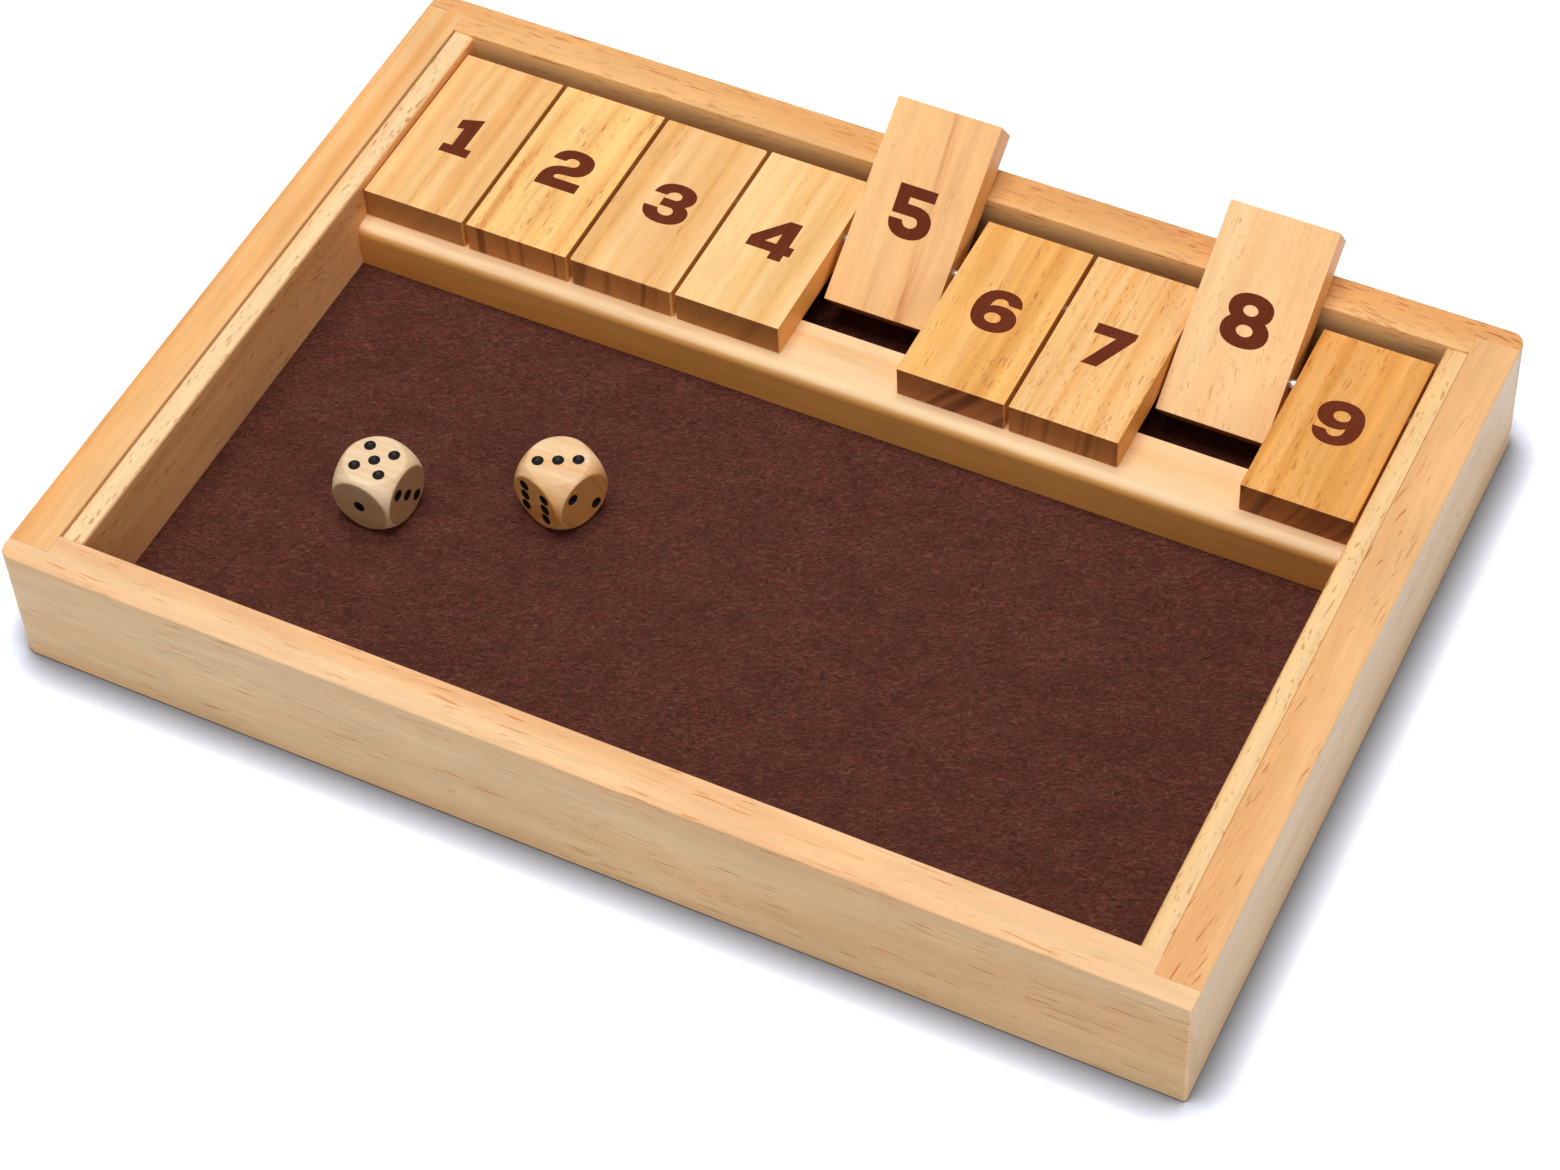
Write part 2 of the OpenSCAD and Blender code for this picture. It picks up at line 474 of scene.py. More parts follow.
            lots = add("SeparateColor", (dots["Color"],)).outputs
            reach = add("MapRange", (lots[0], 0, 1, 0.14, 0.46))
            inside = add("Math", (reach, dots["Distance"]), operation="SUBTRACT")
            inside = add("MapRange", (inside, 0.0, 0.16), **SOFT)
            kept = add("MapRange", (lots[1], 1.0 - flecks.share, 1.3 - flecks.share), **SOFT)
            kept = add("Math", (kept, crowd), operation="MULTIPLY")
            dash = add("Math", (inside, kept), operation="MULTIPLY")
            found = add("Math", (found, dash), operation="MAXIMUM") if found else dash
        return found

    def turn_tones(
        self, add: Adder, colour: Source, normal: Source, turn: tuple, latewood: Source, thread: Source
    ) -> Source:
        """Give the board's ends and eased edges their own tones, and paint light and shade on the faces at its
        front and back edge.

        Args:
            add: Adds nodes to the material.
            colour: The colour of the wide faces.
            normal: The surface's direction.
            turn: The board's rotation.
            latewood: How much dark growth shows.
            thread: The fibres' light and dark.

        Returns:
            The finished colour.
        """
        facing = add("Mapping", {"Vector": normal, "Rotation": turn}, vector_type="TEXTURE")
        side = add("SeparateXYZ", (facing,)).outputs[1]
        low, high = self.face_turn
        # Painted light and shade: the faces at the board's front and back edge are scaled by their tone's ratio
        # to the body colour
        for tone, ends in ((self.side, (-high, -low, 1, 0)), (self.rear_face_painted_shading, (low, high))):
            if tone:
                ratio = [a / b for a, b in zip(linear(tone)[:3], linear(self.body)[:3])]
                painted_face_tone = add("VectorMath", (colour, ratio), operation="MULTIPLY")
                turned = add("MapRange", (side, *ends), **SOFT)
                colour = add("Mix", {0: turned, 6: colour, 7: painted_face_tone}, **RGBA)
        size = add("VectorMath", (facing,), operation="ABSOLUTE")
        sizes = add("SeparateXYZ", (size,)).outputs
        dark = add("MapRange", (latewood, 0.0, 0.65, 0.0, 0.8), **SOFT)
        end_tone = add("Mix", {0: dark, 6: linear(self.end), 7: linear(self.end_dark)}, **RGBA)
        end_tone = add("VectorMath", {0: end_tone, 3: thread}, operation="SCALE")
        on_end = add("MapRange", (sizes[0], low, high), **SOFT)
        colour = add("Mix", {0: on_end, 6: colour, 7: end_tone}, **RGBA)
        most = add("Math", (sizes[0], sizes[1]), operation="MAXIMUM")
        most = add("Math", (most, sizes[2]), operation="MAXIMUM")
        rubbed = add("MapRange", (most, 0.75, 0.97, 1.05, 1.0))
        return add("VectorMath", {0: colour, 3: rubbed}, operation="SCALE")

    def noise(self, add: Adder, at: Source, grain: Grain, detail: float) -> Source:
        """Noise in the wood.

        Args:
            add: Adds nodes to the material.
            at: Where on the board, in millimetres.
            grain: The size of one feature along, across and through the board, in millimetres.
            detail: How many finer layers are added.

        Returns:
            The noise.
        """
        start = (self.seed, self.seed * 0.7, self.seed * 1.3)
        at = add("VectorMath", (at, [1 / g for g in grain], start), operation="MULTIPLY_ADD")
        return add("TexNoise", {"Vector": at, "Scale": 1.0, "Detail": detail})


@dataclass(frozen=True)
class PressedFelt:
    """Needled felt of brown viscose fibres.

    The eye gets a dull dark ground with fine tangled wisps, most of them lying one way.
    """

    name: str = "pressed_brown_felt"
    deep: str = "#361A14"
    body: str = "#502C23"
    red: str = "#562922"
    wisp: str = "#784838"
    sheen: str = "#B98A78"
    wisp_grain: Grain = (3.0, 1.3, 1.3)
    speck_grain: Grain = (2.0, 1.1, 1.1)
    tuft_grain: Grain = (4.5, 3.2, 3.2)
    cloud_grain: Grain = (14.0, 9.0, 9.0)
    lie: float = math.radians(26)
    bump: float = 0.15

    def build(self) -> bpy.types.Material:
        """Make the material.

        Returns:
            The material.
        """
        material, add = new_material(self.name)
        wisps = surface_noise(add, self.wisp_grain, 2.0, self.lie, 2.8)
        specks = surface_noise(add, self.speck_grain, 2.5, self.lie, 2.0)
        tufts = surface_noise(add, self.tuft_grain, 2.0, self.lie, 1.0)
        clouds = surface_noise(add, self.cloud_grain, 2.0, self.lie, 0.5)
        colour = linear(self.body)
        for noise, ends, tone in (
            (tufts, (0.4, 0.62), self.red),
            (specks, (0.32, 0.56, 0.9, 0.0), self.deep),
            (wisps, (0.48, 0.7, 0.0, 0.68), self.wisp),
        ):
            share = add("MapRange", (noise, *ends))
            colour = add("Mix", {0: share, 6: colour, 7: linear(tone)}, **RGBA)
        tone = add("MapRange", (clouds, LOW, HIGH, 0.88, 1.12))
        height = add("Math", (wisps, specks))
        surface = {
            "Base Color": add("VectorMath", {0: colour, 3: tone}, operation="SCALE"),
            "Roughness": 0.95,
            "IOR": 1.45,
            "Specular IOR Level": 0.2,
            "Sheen Weight": 0.12,
            "Sheen Roughness": 0.5,
            "Sheen Tint": linear(self.sheen),
            "Normal": add("Bump", {"Strength": 0.6, "Distance": self.bump * MM, "Height": height}),
        }
        add("OutputMaterial", (add("BsdfPrincipled", surface),))
        return material


@dataclass(frozen=True)
class LooseFibre:
    """Single viscose fibres that stand out of the felt, each with its own shade."""

    name: str = "loose_felt_fibre"
    dark: str = "#43231C"
    pale: str = "#684036"

    def build(self) -> bpy.types.Material:
        """Make the material.

        Returns:
            The material.
        """
        material, add = new_material(self.name)
        shade = add("Attribute", attribute_name="shade").outputs["Fac"]
        colour = add("Mix", {0: shade, 6: linear(self.dark), 7: linear(self.pale)}, **RGBA)
        surface = add("BsdfPrincipled", {"Base Color": colour, "Roughness": 0.8, "IOR": 1.45})
        add("OutputMaterial", (surface,))
        return material


@dataclass(frozen=True)
class DrawnSteel:
    """Bright drawn steel bar, with fine marks along its length from the die that it was drawn through."""

    name: str = "bright_drawn_steel"
    colour: str = "#C8CACD"
    marks: Grain = (9.0, 0.12, 0.12)
    bump: float = 0.01

    def build(self) -> bpy.types.Material:
        """Make the material.

        Returns:
            The material.
        """
        material, add = new_material(self.name)
        marks = surface_noise(add, self.marks)
        surface = {
            "Base Color": linear(self.colour),
            "Metallic": 1.0,
            "Roughness": add("MapRange", (marks, LOW, HIGH, 0.2, 0.36)),
            "Normal": add("Bump", {"Strength": 0.2, "Distance": self.bump * MM, "Height": marks}),
        }
        add("OutputMaterial", (add("BsdfPrincipled", surface),))
        return material


@dataclass(frozen=True)
class StampedInk:
    """Dark red-brown ink, stamped on the sanded wood. A little of the grain shows through."""

    name: str = "stamped_brown_ink"
    colour: str = "#662A17"
    thin: str = "#74381F"
    grain: Grain = (0.3, 5.0, 5.0)

    def build(self) -> bpy.types.Material:
        """Make the material.

        Returns:
            The material.
        """
        material, add = new_material(self.name)
        grain = surface_noise(add, self.grain)
        worn = add("MapRange", (grain, 0.4, 0.75))
        surface = {
            "Base Color": add("Mix", {0: worn, 6: linear(self.colour), 7: linear(self.thin)}, **RGBA),
            "Roughness": add("MapRange", (grain, LOW, HIGH, 0.7, 0.85)),
            "IOR": 1.48,
            "Specular IOR Level": 0.08,
        }
        add("OutputMaterial", (add("BsdfPrincipled", surface),))
        return material


@dataclass(frozen=True)
class GlossPaint:
    """Black enamel dropped in the drilled pips, glossy, with a slightly uneven skin."""

    name: str = "black_pip_enamel"
    colour: str = "#171212"
    ripple: float = 0.8
    bump: float = 0.03

    def build(self) -> bpy.types.Material:
        """Make the material.

        Returns:
            The material.
        """
        material, add = new_material(self.name)
        ripple = {"Vector": add("TexCoord").outputs["Object"], "Scale": 1 / (self.ripple * MM), "Detail": 1.0}
        ripple = add("TexNoise", ripple)
        surface = {
            "Base Color": linear(self.colour),
            "Roughness": add("MapRange", (ripple, LOW, HIGH, 0.26, 0.4)),
            "IOR": 1.5,
            "Specular IOR Level": 0.1,
            "Normal": add("Bump", {"Strength": 0.15, "Distance": self.bump * MM, "Height": ripple}),
        }
        add("OutputMaterial", (add("BsdfPrincipled", surface),))
        return material


def seen_directly(add: Adder) -> Source:
    """Tell what the camera sees, mirrored or through glass too, from the light on other pieces.

    Args:
        add: Adds nodes to the tree.

    Returns:
        1 for what is seen, and 0 for the light.
    """
    path = add("LightPath").outputs
    seen = add("Math", (path["Is Camera Ray"], path["Is Glossy Ray"]))
    return add("Math", (seen, path["Is Transmission Ray"]), use_clamp=True)


@dataclass(frozen=True)
class StudioWhite:
    """Seamless white table, which keeps the shadow.

    The camera and reflections see it brighter than it is, so that it looks white, and see a painted shadow:
    an ambient occlusion term darkens the crevice under the rails, and a bluish tint shows in the shade.
    The light that it throws on the game is that of the plain white table.
    """

    name: str = "studio_white_table"
    colour: str = "#FBFBFB"
    # Painted shadow colour: the bluish tint of the table as seen directly, which shows in the shade; the open
    # table clips to white
    shown: str = "#E9F0FF"
    shown_gain: float = 1.9
    # Painted shadow: how far the ambient occlusion reaches, and how strongly it darkens the crevice
    crevice: float = 14.0
    depth: float = 2.3

    def build(self) -> bpy.types.Material:
        """Make the material.

        Returns:
            The material.
        """
        material, add = new_material(self.name)
        # Painted shadow: ambient occlusion darkens the table that is seen directly beside the rails
        open_sky = add("AmbientOcclusion", {"Distance": self.crevice * MM}, samples=12).outputs["AO"]
        gain = add("Math", (open_sky, self.depth), operation="POWER")
        gain = add("Math", (gain, self.shown_gain), operation="MULTIPLY")
        shown = add("VectorMath", {0: linear(self.shown)[:3], 3: gain}, operation="SCALE")
        colour = add("Mix", {0: seen_directly(add), 6: linear(self.colour), 7: shown}, **RGBA)
        add("OutputMaterial", (add("BsdfDiffuse", {"Color": colour}),))
        return material


@dataclass
class EasedPiece:
    """A CAD node with its sharp edges eased by sandpaper. It stands for the node."""

    node: str
    body: str
    slot: str
    easing: float = 0.3
    segments: int = 3
    # Edges that turn by more than the crease are eased; faces that turn by less than flat are joined
    crease: float = math.radians(25)
    flat: float = math.radians(0.3)
    merge: float = 0.0005

    def radius(self, edge: bmesh.types.BMEdge) -> float:
        """The radius that an edge is eased to, in millimetres."""
        return self.easing

    def shape(self) -> bpy.types.Object:
        """Make the eased mesh.

        Returns:
            The new piece, named for its node.
        """
        shape = bmesh.new()
        shape.from_mesh(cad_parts[self.node].data)
        bmesh.ops.remove_doubles(shape, verts=shape.verts, dist=self.merge * MM)
        bmesh.ops.dissolve_limit(shape, angle_limit=self.flat, verts=shape.verts, edges=shape.edges)
        weights = shape.edges.layers.float.new("bevel_weight_edge")
        sharp = [e for e in shape.edges if e.is_manifold and e.calc_face_angle() > self.crease]
        radii = [self.radius(edge) for edge in sharp]
        widest = max(radii)
        for edge, radius in zip(sharp, radii):
            edge[weights] = radius / widest
        for face in shape.faces:
            face.smooth = True
        piece = keep_shape(self.node + "_eased", shape)
        piece.data.materials.clear()
        bevel = piece.modifiers.new("eased edges", "BEVEL")
        bevel.limit_method = "WEIGHT"
        bevel.width = widest * MM
        bevel.segments = self.segments
        normals = piece.modifiers.new("flat faces", "WEIGHTED_NORMAL")
        normals.mode = "FACE_AREA"
        normals.weight = 50
        apply_modifiers(piece)
        return piece

    def finish(self, material: bpy.types.Material) -> None:
        """Make the piece, dress it and tie it to its body.

        Args:
            material: The wood's material.
        """
        piece = self.shape()
        piece.data.materials.append(material)
        tie(piece, self.body)
        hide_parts(self.node)


@dataclass
class Rail(EasedPiece):
    """One rail of the frame. Its rims are eased more than the faces that meet in a joint."""

    rim: float = 0.7
    inner_rim: float = 0.5
    joint: float = 0.12
    # The rounded corners' radius, and how far from the outside an edge may lie and still be on the rim
    corner: float = 3.5
    near: float = 1.2
    short: float = 1.5
    slack: float = 0.01
    arc_slack: float = 0.1

    def radius(self, edge: bmesh.types.BMEdge) -> float:
        """The radius that an edge is eased to, by where it lies in the frame.

        Args:
            edge: The edge.

        Returns:
            The radius, in millimetres.
        """
        low, high = RailFrame.outside()
        inner = RailFrame.inside()
        ends = [vertex.co for vertex in edge.verts]
        slack, corner = self.slack * MM, self.corner * MM
        levels = (max(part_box(self.node)[1].z, 0), 0)
        if not any(all(abs(end.z - level) < slack for end in ends) for level in levels):
            return self.joint
        on_outside = all(
            min(end.x - low.x, high.x - end.x, end.y - low.y, high.y - end.y) < self.near * MM for end in ends
        )
        on_arc = all(
            math.hypot(max(abs(end.x) - high.x + corner, 0), max(abs(end.y) - high.y + corner, 0))
            > corner - self.arc_slack * MM
            for end in ends
        )
        if on_outside or on_arc:
            along_rim = any(all(abs(abs(end[axis]) - high[axis]) < slack for end in ends) for axis in (0, 1))
            is_short = (ends[0] - ends[1]).length < self.short * MM
            return self.rim if along_rim or (on_arc and is_short) else self.joint
        for axis, other in ((0, 1), (1, 0)):
            if all(
                abs(abs(end[axis]) - inner[axis]) < slack and abs(end[other]) < inner[other] + slack
                for end in ends
            ):
                return self.inner_rim
        return self.joint


@dataclass
class RailFrame:
    """Four rails, rabbeted together at the corners."""

    body: str = "frame"
    slot: str = "frame_wood"
    woods: dict[str, PlanedWood] = field(default_factory=dict)

    @staticmethod
    def outside() -> tuple[Vector, Vector]:
        """The frame's outer corners, in metres."""
        low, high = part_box("front_rail")
        return low, Vector((high.x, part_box("back_rail")[1].y, high.z))

    @staticmethod
    def inside() -> Vector:
        """The inner corner between the right rail and the back rail, in metres."""
        return Vector((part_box("right_rail")[0].x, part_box("back_rail")[0].y, 0))

    def build(self) -> None:
        """Make and dress the rails."""
        for node, wood in self.woods.items():
            facing = Facing[node.removesuffix("_rail").upper()]
            Rail(node, self.body, self.slot).finish(wood.build(Lay(middle(node), facing)))


@dataclass
class Lining:
    """The two side strips and the divider bar inside the tray."""

    body: str = "frame"
    easing: float = 0.2
    woods: dict[str, PlanedWood] = field(default_factory=dict)

    def build(self) -> None:
        """Make and dress the strips and the divider."""
        for node, slot, facing in (
            ("left_strip", "strip_wood", Facing.RIGHT),
            ("right_strip", "strip_wood", Facing.LEFT),
            ("divider_bar", "divider_wood", Facing.FRONT),
        ):
            piece = EasedPiece(node, self.body, slot, easing=self.easing)
            piece.finish(self.woods[node].build(Lay(middle(node), facing)))


@dataclass
class TrayFloor:
    """The plywood base board, and the felt that is laid and glued on it."""

    body: str = "frame"
    cell: float = 1.6
    dip: float = 0.12
    fibres_per_cm2: float = 18.0
    fibre_length: float = 1.9
    fibre_width: float = 0.06
    # A fibre's start, bend and end as shares of its length, and how far it may lie off the felt's own lie
    fibre_path: tuple[Grain, ...] = ((-0.5, 0, 0), (0.05, 0.35, 0.12), (0.5, 0.02, 0))
    fibre_spread: float = 1.5
    seed: int = 7
    felt: PressedFelt = PressedFelt()
    fibre: LooseFibre = LooseFibre()
    ply: PlanedWood = PlanedWood(
        "sanded_poplar_plywood", "#D9B37E", "#CDA26A", "#B98A52", end="#A8783F", seed=31.0, ring=9.0
    )

    def build(self) -> None:
        """Dress the board, and lay the felt with its loose fibres."""
        dress("base_board", self.ply.build(Lay(middle("base_board"), Facing.FRONT)))
        sheet = self.sheet()
        sheet.data.materials.append(self.felt.build())
        fuzz = self.fuzz(sheet)
        for piece in (sheet, fuzz):
            tie(piece, self.body)
        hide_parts("felt_lining")

    def sheet(self) -> bpy.types.Object:
        """Make the felt: a closed sheet whose upper side is slightly uneven.

        Returns:
            The felt.
        """
        low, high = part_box("felt_lining")
        size = high - low
        columns, rows = round(size.x / (self.cell * MM)), round(size.y / (self.cell * MM))
        shape = bmesh.new()
        bottom, top = (
            [
                [
                    shape.verts.new((low.x + size.x * i / columns, low.y + size.y * j / rows, z))
                    for i in range(columns + 1)
                ]
                for j in range(rows + 1)
            ]
            for z in (low.z, high.z)
        )
        for row in top[1:-1]:
            for vertex in row[1:-1]:
                vertex.co.z -= self.dip * MM * (0.5 + 0.5 * self.wave(vertex.co.x / MM, vertex.co.y / MM))
        for row, after in zip(top, top[1:]):
            for i in range(columns):
                shape.faces.new((row[i], row[i + 1], after[i + 1], after[i])).smooth = True
        rim = [(0, i) for i in range(columns)] + [(j, columns) for j in range(rows)]
        rim += [(rows, i) for i in range(columns, 0, -1)] + [(j, 0) for j in range(rows, 0, -1)]
        for (j, i), (n, m) in zip(rim, rim[1:] + rim[:1]):
            shape.faces.new((bottom[j][i], bottom[n][m], top[n][m], top[j][i]))
        shape.faces.new([bottom[j][i] for j, i in reversed(rim)])
        for row in bottom[1:-1]:
            for vertex in row[1:-1]:
                shape.verts.remove(vertex)
        return keep_shape("felt_sheet", shape)

    @staticmethod
    def wave(x: float, y: float) -> float:
        """Bent bumps and dips from -1 to 1, about 3 mm across, at a place in millimetres."""
        return math.sin(x * 0.9 + 2.1 * math.sin(y * 0.31)) * math.sin(y * 1.1 + 1.7 * math.sin(x * 0.23))

    def fuzz(self, sheet: bpy.types.Object) -> bpy.types.Object:
        """Scatter loose fibres over the felt that shows, with Geometry Nodes.

        Args:
            sheet: The felt.

        Returns:
            The fibres, as one mesh.
        """
        piece = new_object("felt_fuzz", sheet.data.copy())
        sizes = {
            "Fibres per square metre": self.fibres_per_cm2 * 1e4,
            "Fibre length": self.fibre_length * MM,
            "Fibre width": self.fibre_width * MM,
            "Lie": self.felt.lie,
        }
        tree, add = new_group("felt_fuzz_scatter", sizes)
        given = add("NodeGroupInput").outputs
        up = add("SeparateXYZ", (add("GeometryNodeInputNormal"),)).outputs[2]
        where = {
            "Mesh": given["Geometry"],
            "Selection": add("FunctionNodeCompare", (up, 0.5), operation="GREATER_THAN"),
            "Density": given["Fibres per square metre"],
            "Seed": self.seed,
        }
        points = add("GeometryNodeDistributePointsOnFaces", where)
        start, bend, end = (
            add("VectorMath", {0: place, 3: given["Fibre length"]}, operation="SCALE")
            for place in self.fibre_path
        )
        thread = {"Resolution": 4, "Start": start, "Middle": bend, "End": end}
        thread = add("GeometryNodeCurveQuadraticBezier", thread)
        half = add("Math", (given["Fibre width"], 0.5), operation="MULTIPLY")
        left = add("CombineXYZ", (half,))
        right = add("VectorMath", {0: left, 3: -1.0}, operation="SCALE")
        flat = add("GeometryNodeCurvePrimitiveLine", {"Start": left, "End": right})
        strand = add("GeometryNodeCurveToMesh", (thread, flat))
        spin, flip, size, shade = (
            add("FunctionNodeRandomValue", {2: low, 3: high, "Seed": self.seed + draw}, data_type="FLOAT")
            for draw, (low, high) in enumerate(((-1.0, 1.0), (-1.0, 1.0), (0.5, 1.4), (0.0, 1.0)), 1)
        )
        turn = add("Math", (spin, self.fibre_spread, given["Lie"]), operation="MULTIPLY_ADD")
        laid = {
            "Points": points,
            "Instance": strand,
            "Rotation": add("CombineXYZ", {2: turn}),
            "Scale": add("CombineXYZ", (size, flip, size)),
        }
        shaded = {"Geometry": add("GeometryNodeInstanceOnPoints", laid), "Name": "shade", "Value": shade}
        shaded = add("GeometryNodeStoreNamedAttribute", shaded, data_type="FLOAT", domain="INSTANCE")
        real = add("GeometryNodeRealizeInstances", (shaded,))
        dressed = add("GeometryNodeSetMaterial", {"Geometry": real, "Material": self.fibre.build()})
        add("NodeGroupOutput", (dressed,))
        apply_group(piece, tree, sizes)
        return piece


@dataclass
class HingeRod:
    """The steel rod that the tiles turn on. Its CAD node has the right shape and stays."""

    steel: DrawnSteel = DrawnSteel()

    def build(self) -> None:
        """Dress the rod."""
        dress("hinge_rod", self.steel.build())


# Outlines of the numbers, drawn as paths in millimetres round the number's middle.
# M starts an outline, L is a straight line, C a curve with two handles, E a whole ellipse.
NUMBER_PATHS = {
    1: "M -3.85 -6.5 L 3.85 -6.5 L 3.85 -3.75 L 1.95 -3.75 L 2.05 6.75 L -3.35 5 L -3.35 2"
    " C -2.7 2.05 -2.1 2.2 -1.5 2.35 L -1.5 -3.75 L -3.85 -3.75",
    2: "M -5.55 -6.5 L 5.5 -6.5 L 5.5 -3.4 L -1.1 -3.4 C -2.1 -3.4 -2.3 -2.5 -1.3 -2.05"
    " C -0.3 -1.65 1 -1.75 2.2 -1.55 C 4.4 -1.15 5.85 0.4 5.85 2.6 C 5.85 5.4 3.6 6.8 0.4 6.8"
    " C -2.8 6.8 -4.9 5.2 -4.95 2.65 L -1.55 2.65 C -1.35 3.6 -0.6 4.05 0.3 4.05"
    " C 1.3 4.05 2.05 3.5 2.05 2.65 C 2.05 1.7 1.3 1.25 0 1.15 C -3.4 0.85 -5.5 -0.9 -5.55 -4.2",
    3: "M -5.3 2.5 L -2 2.5 C -1.6 3.5 -0.8 4.05 0.2 4.05 C 1.2 4.05 1.95 3.5 1.95 2.7"
    " C 1.95 1.9 1.3 1.45 0.4 1.45 L -2.2 1.45 L -2.2 -1.1 L 0.4 -1.1 C 1.4 -1.1 2 -1.7 2 -2.5"
    " C 2 -3.35 1.2 -3.95 0.1 -3.95 C -1.1 -3.95 -1.9 -3.2 -2.1 -2.1 L -5.75 -2.1"
    " C -5.7 -4.9 -3.4 -6.7 0.1 -6.7 C 3.5 -6.7 5.75 -5.1 5.75 -2.7 C 5.75 -1.3 5.1 -0.3 3.9 0.25"
    " C 5 0.9 5.5 1.8 5.5 3 C 5.5 5.3 3.4 6.8 0.2 6.8 C -3 6.8 -5.1 5.2 -5.3 2.5",
    4: "M 1.05 6.4 L 4.3 6.4 L 4.3 -1.3 L 5.75 -1.3 L 5.75 -4.3 L 4.3 -4.3 L 4.3 -6.5 L 0.95 -6.5"
    " L 0.95 -4.3 L -5.8 -4.3 L -5.8 -1 M 1 1.95 L 1 -1.5 L -2 -1.5",
    5: "M -5.3 6.2 L 4.4 6.2 L 4.4 3.4 L -1.9 3.4 L -1.9 1.75 L 0.3 1.75 C 3.4 1.75 5.3 0.1 5.3 -2.4"
    " C 5.3 -5 3.2 -6.6 -0.1 -6.6 C -3.2 -6.6 -5.2 -5.1 -5.35 -2.3 L -1.95 -2.3"
    " C -1.7 -3.3 -0.9 -3.85 0.1 -3.85 C 1.2 -3.85 1.9 -3.2 1.9 -2.4 C 1.9 -1.6 1.3 -1.05 0.3 -1.05"
    " L -5.1 -1.05",
    6: "M 5.3 2.6 L 2.05 2.7 C 1.7 3.6 1 4.05 0.1 4.05 C -1.2 4.05 -2.05 2.9 -2 1.05"
    " C -1.2 1.6 -0.2 1.9 1 1.9 C 3.8 1.9 5.75 0.2 5.75 -2.3 C 5.75 -4.9 3.6 -6.7 0.2 -6.7"
    " C -3.6 -6.7 -5.65 -4.3 -5.65 0 C -5.65 4.3 -3.5 6.75 0.2 6.75 C 3.1 6.75 5.1 5.2 5.3 2.6"
    " E 0.05 -2.25 2 1.6",
    7: "M -5 6.4 L 5 6.4 L 4.95 4.4 L -0.2 -6.5 L -4.1 -6.5 L 0.65 3.2 L -5 3.2",
    8: "M 4.15 0.2 C 4.9 0.8 5.3 1.7 5.3 2.8 C 5.3 4.9 3.2 6.4 -0.1 6.4 C -3.4 6.4 -5.5 4.9 -5.5 2.8"
    " C -5.5 1.7 -5.1 0.8 -4.3 0.2 C -5.3 -0.6 -5.8 -1.5 -5.8 -2.7 C -5.8 -5 -3.6 -6.6 0 -6.6"
    " C 3.6 -6.6 5.85 -5 5.85 -2.7 C 5.85 -1.5 5.3 -0.6 4.15 0.2 E -0.12 2.38 1.8 1.3 E 0 -2.5 2 1.4",
}


@dataclass
class Numeral:
    """One number, as a thin film of ink on a tile."""

    value: int
    film: float = 0.05
    sunk: float = 0.1
    steps: int = 7
    round_steps: int = 32
    merge: float = 0.001

    def outlines(self) -> list[list[tuple[float, float]]]:
        """Read the number's path. The 9 is the 6 turned round.

        Returns:
            One closed list of points for each outline, in millimetres.
        """
        turned = self.value == 9
        words = NUMBER_PATHS[6 if turned else self.value].split()
        loops: list[list[tuple[float, float]]] = []
        while words:
            command = words.pop(0)
            count = {"M": 2, "L": 2, "C": 6, "E": 4}[command]
            numbers = [float(words.pop(0)) for _ in range(count)]
            if command == "M":
                loops.append([(numbers[0], numbers[1])])
            elif command == "L":
                loops[-1].append((numbers[0], numbers[1]))
            elif command == "C":
                loops[-1].extend(self.curve(loops[-1][-1], numbers))
            else:
                x, y, wide, high = numbers
                turns = [2 * math.pi * k / self.round_steps for k in range(self.round_steps)]
                loops.append([(x + wide * math.cos(a), y + high * math.sin(a)) for a in turns])
        sign = -1 if turned else 1
        return [[(sign * x, sign * y) for x, y in self.open_end(loop)] for loop in loops]

    def curve(self, start: tuple[float, float], handles: list[float]) -> list[tuple[float, float]]:
        """Points on a cubic curve after its start.

        Args:
            start: Where the curve starts.
            handles: The two handles and the end, as six numbers.

        Returns:
            The points, up to the end.
        """
        points = [Vector(start)] + [Vector(handles[i : i + 2]) for i in (0, 2, 4)]
        found = []
        for step in range(1, self.steps + 1):
            t = step / self.steps
            weights = ((1 - t) ** 3, 3 * t * (1 - t) ** 2, 3 * t * t * (1 - t), t**3)
            place = sum((w * p for w, p in zip(weights, points)), Vector((0, 0)))
            found.append((place.x, place.y))
        return found

    @staticmethod
    def open_end(loop: list[tuple[float, float]]) -> list[tuple[float, float]]:
        """The loop without a last point that repeats its first."""
        close = math.dist(loop[0], loop[-1]) < 1e-6
        return loop[:-1] if close else loop

    def build(self, name: str, place: Matrix) -> bpy.types.Object:
        """Make the film.

        Args:
            name: The piece's name.
            place: From the number's own plane, in metres, to the model.

        Returns:
            The film, as a closed thin mesh.
        """
        curve = bpy.data.curves.new(name, "CURVE")
        curve.dimensions = "2D"
        curve.fill_mode = "BOTH"
        for loop in self.outlines():
            spline = curve.splines.new("POLY")
            spline.points.add(len(loop) - 1)
            for point, (x, y) in zip(spline.points, loop):
                point.co = (x * MM, y * MM, 0, 1)
            spline.use_cyclic_u = True
        curve.extrude = (self.film + self.sunk) / 2 * MM
        drawn = new_object(name + "_outline", curve)
        depsgraph = bpy.context.evaluated_depsgraph_get()
        mesh = bpy.data.meshes.new_from_object(drawn.evaluated_get(depsgraph))
        bpy.data.objects.remove(drawn)
        shape = bmesh.new()
        shape.from_mesh(mesh)
        bmesh.ops.remove_doubles(shape, verts=shape.verts, dist=self.merge * MM)
        bmesh.ops.translate(shape, verts=shape.verts, vec=(0, 0, (self.film - self.sunk) / 2 * MM))
        bmesh.ops.transform(shape, matrix=place, verts=shape.verts)
        bmesh.ops.recalc_face_normals(shape, faces=shape.faces)
        return keep_shape(name, shape)


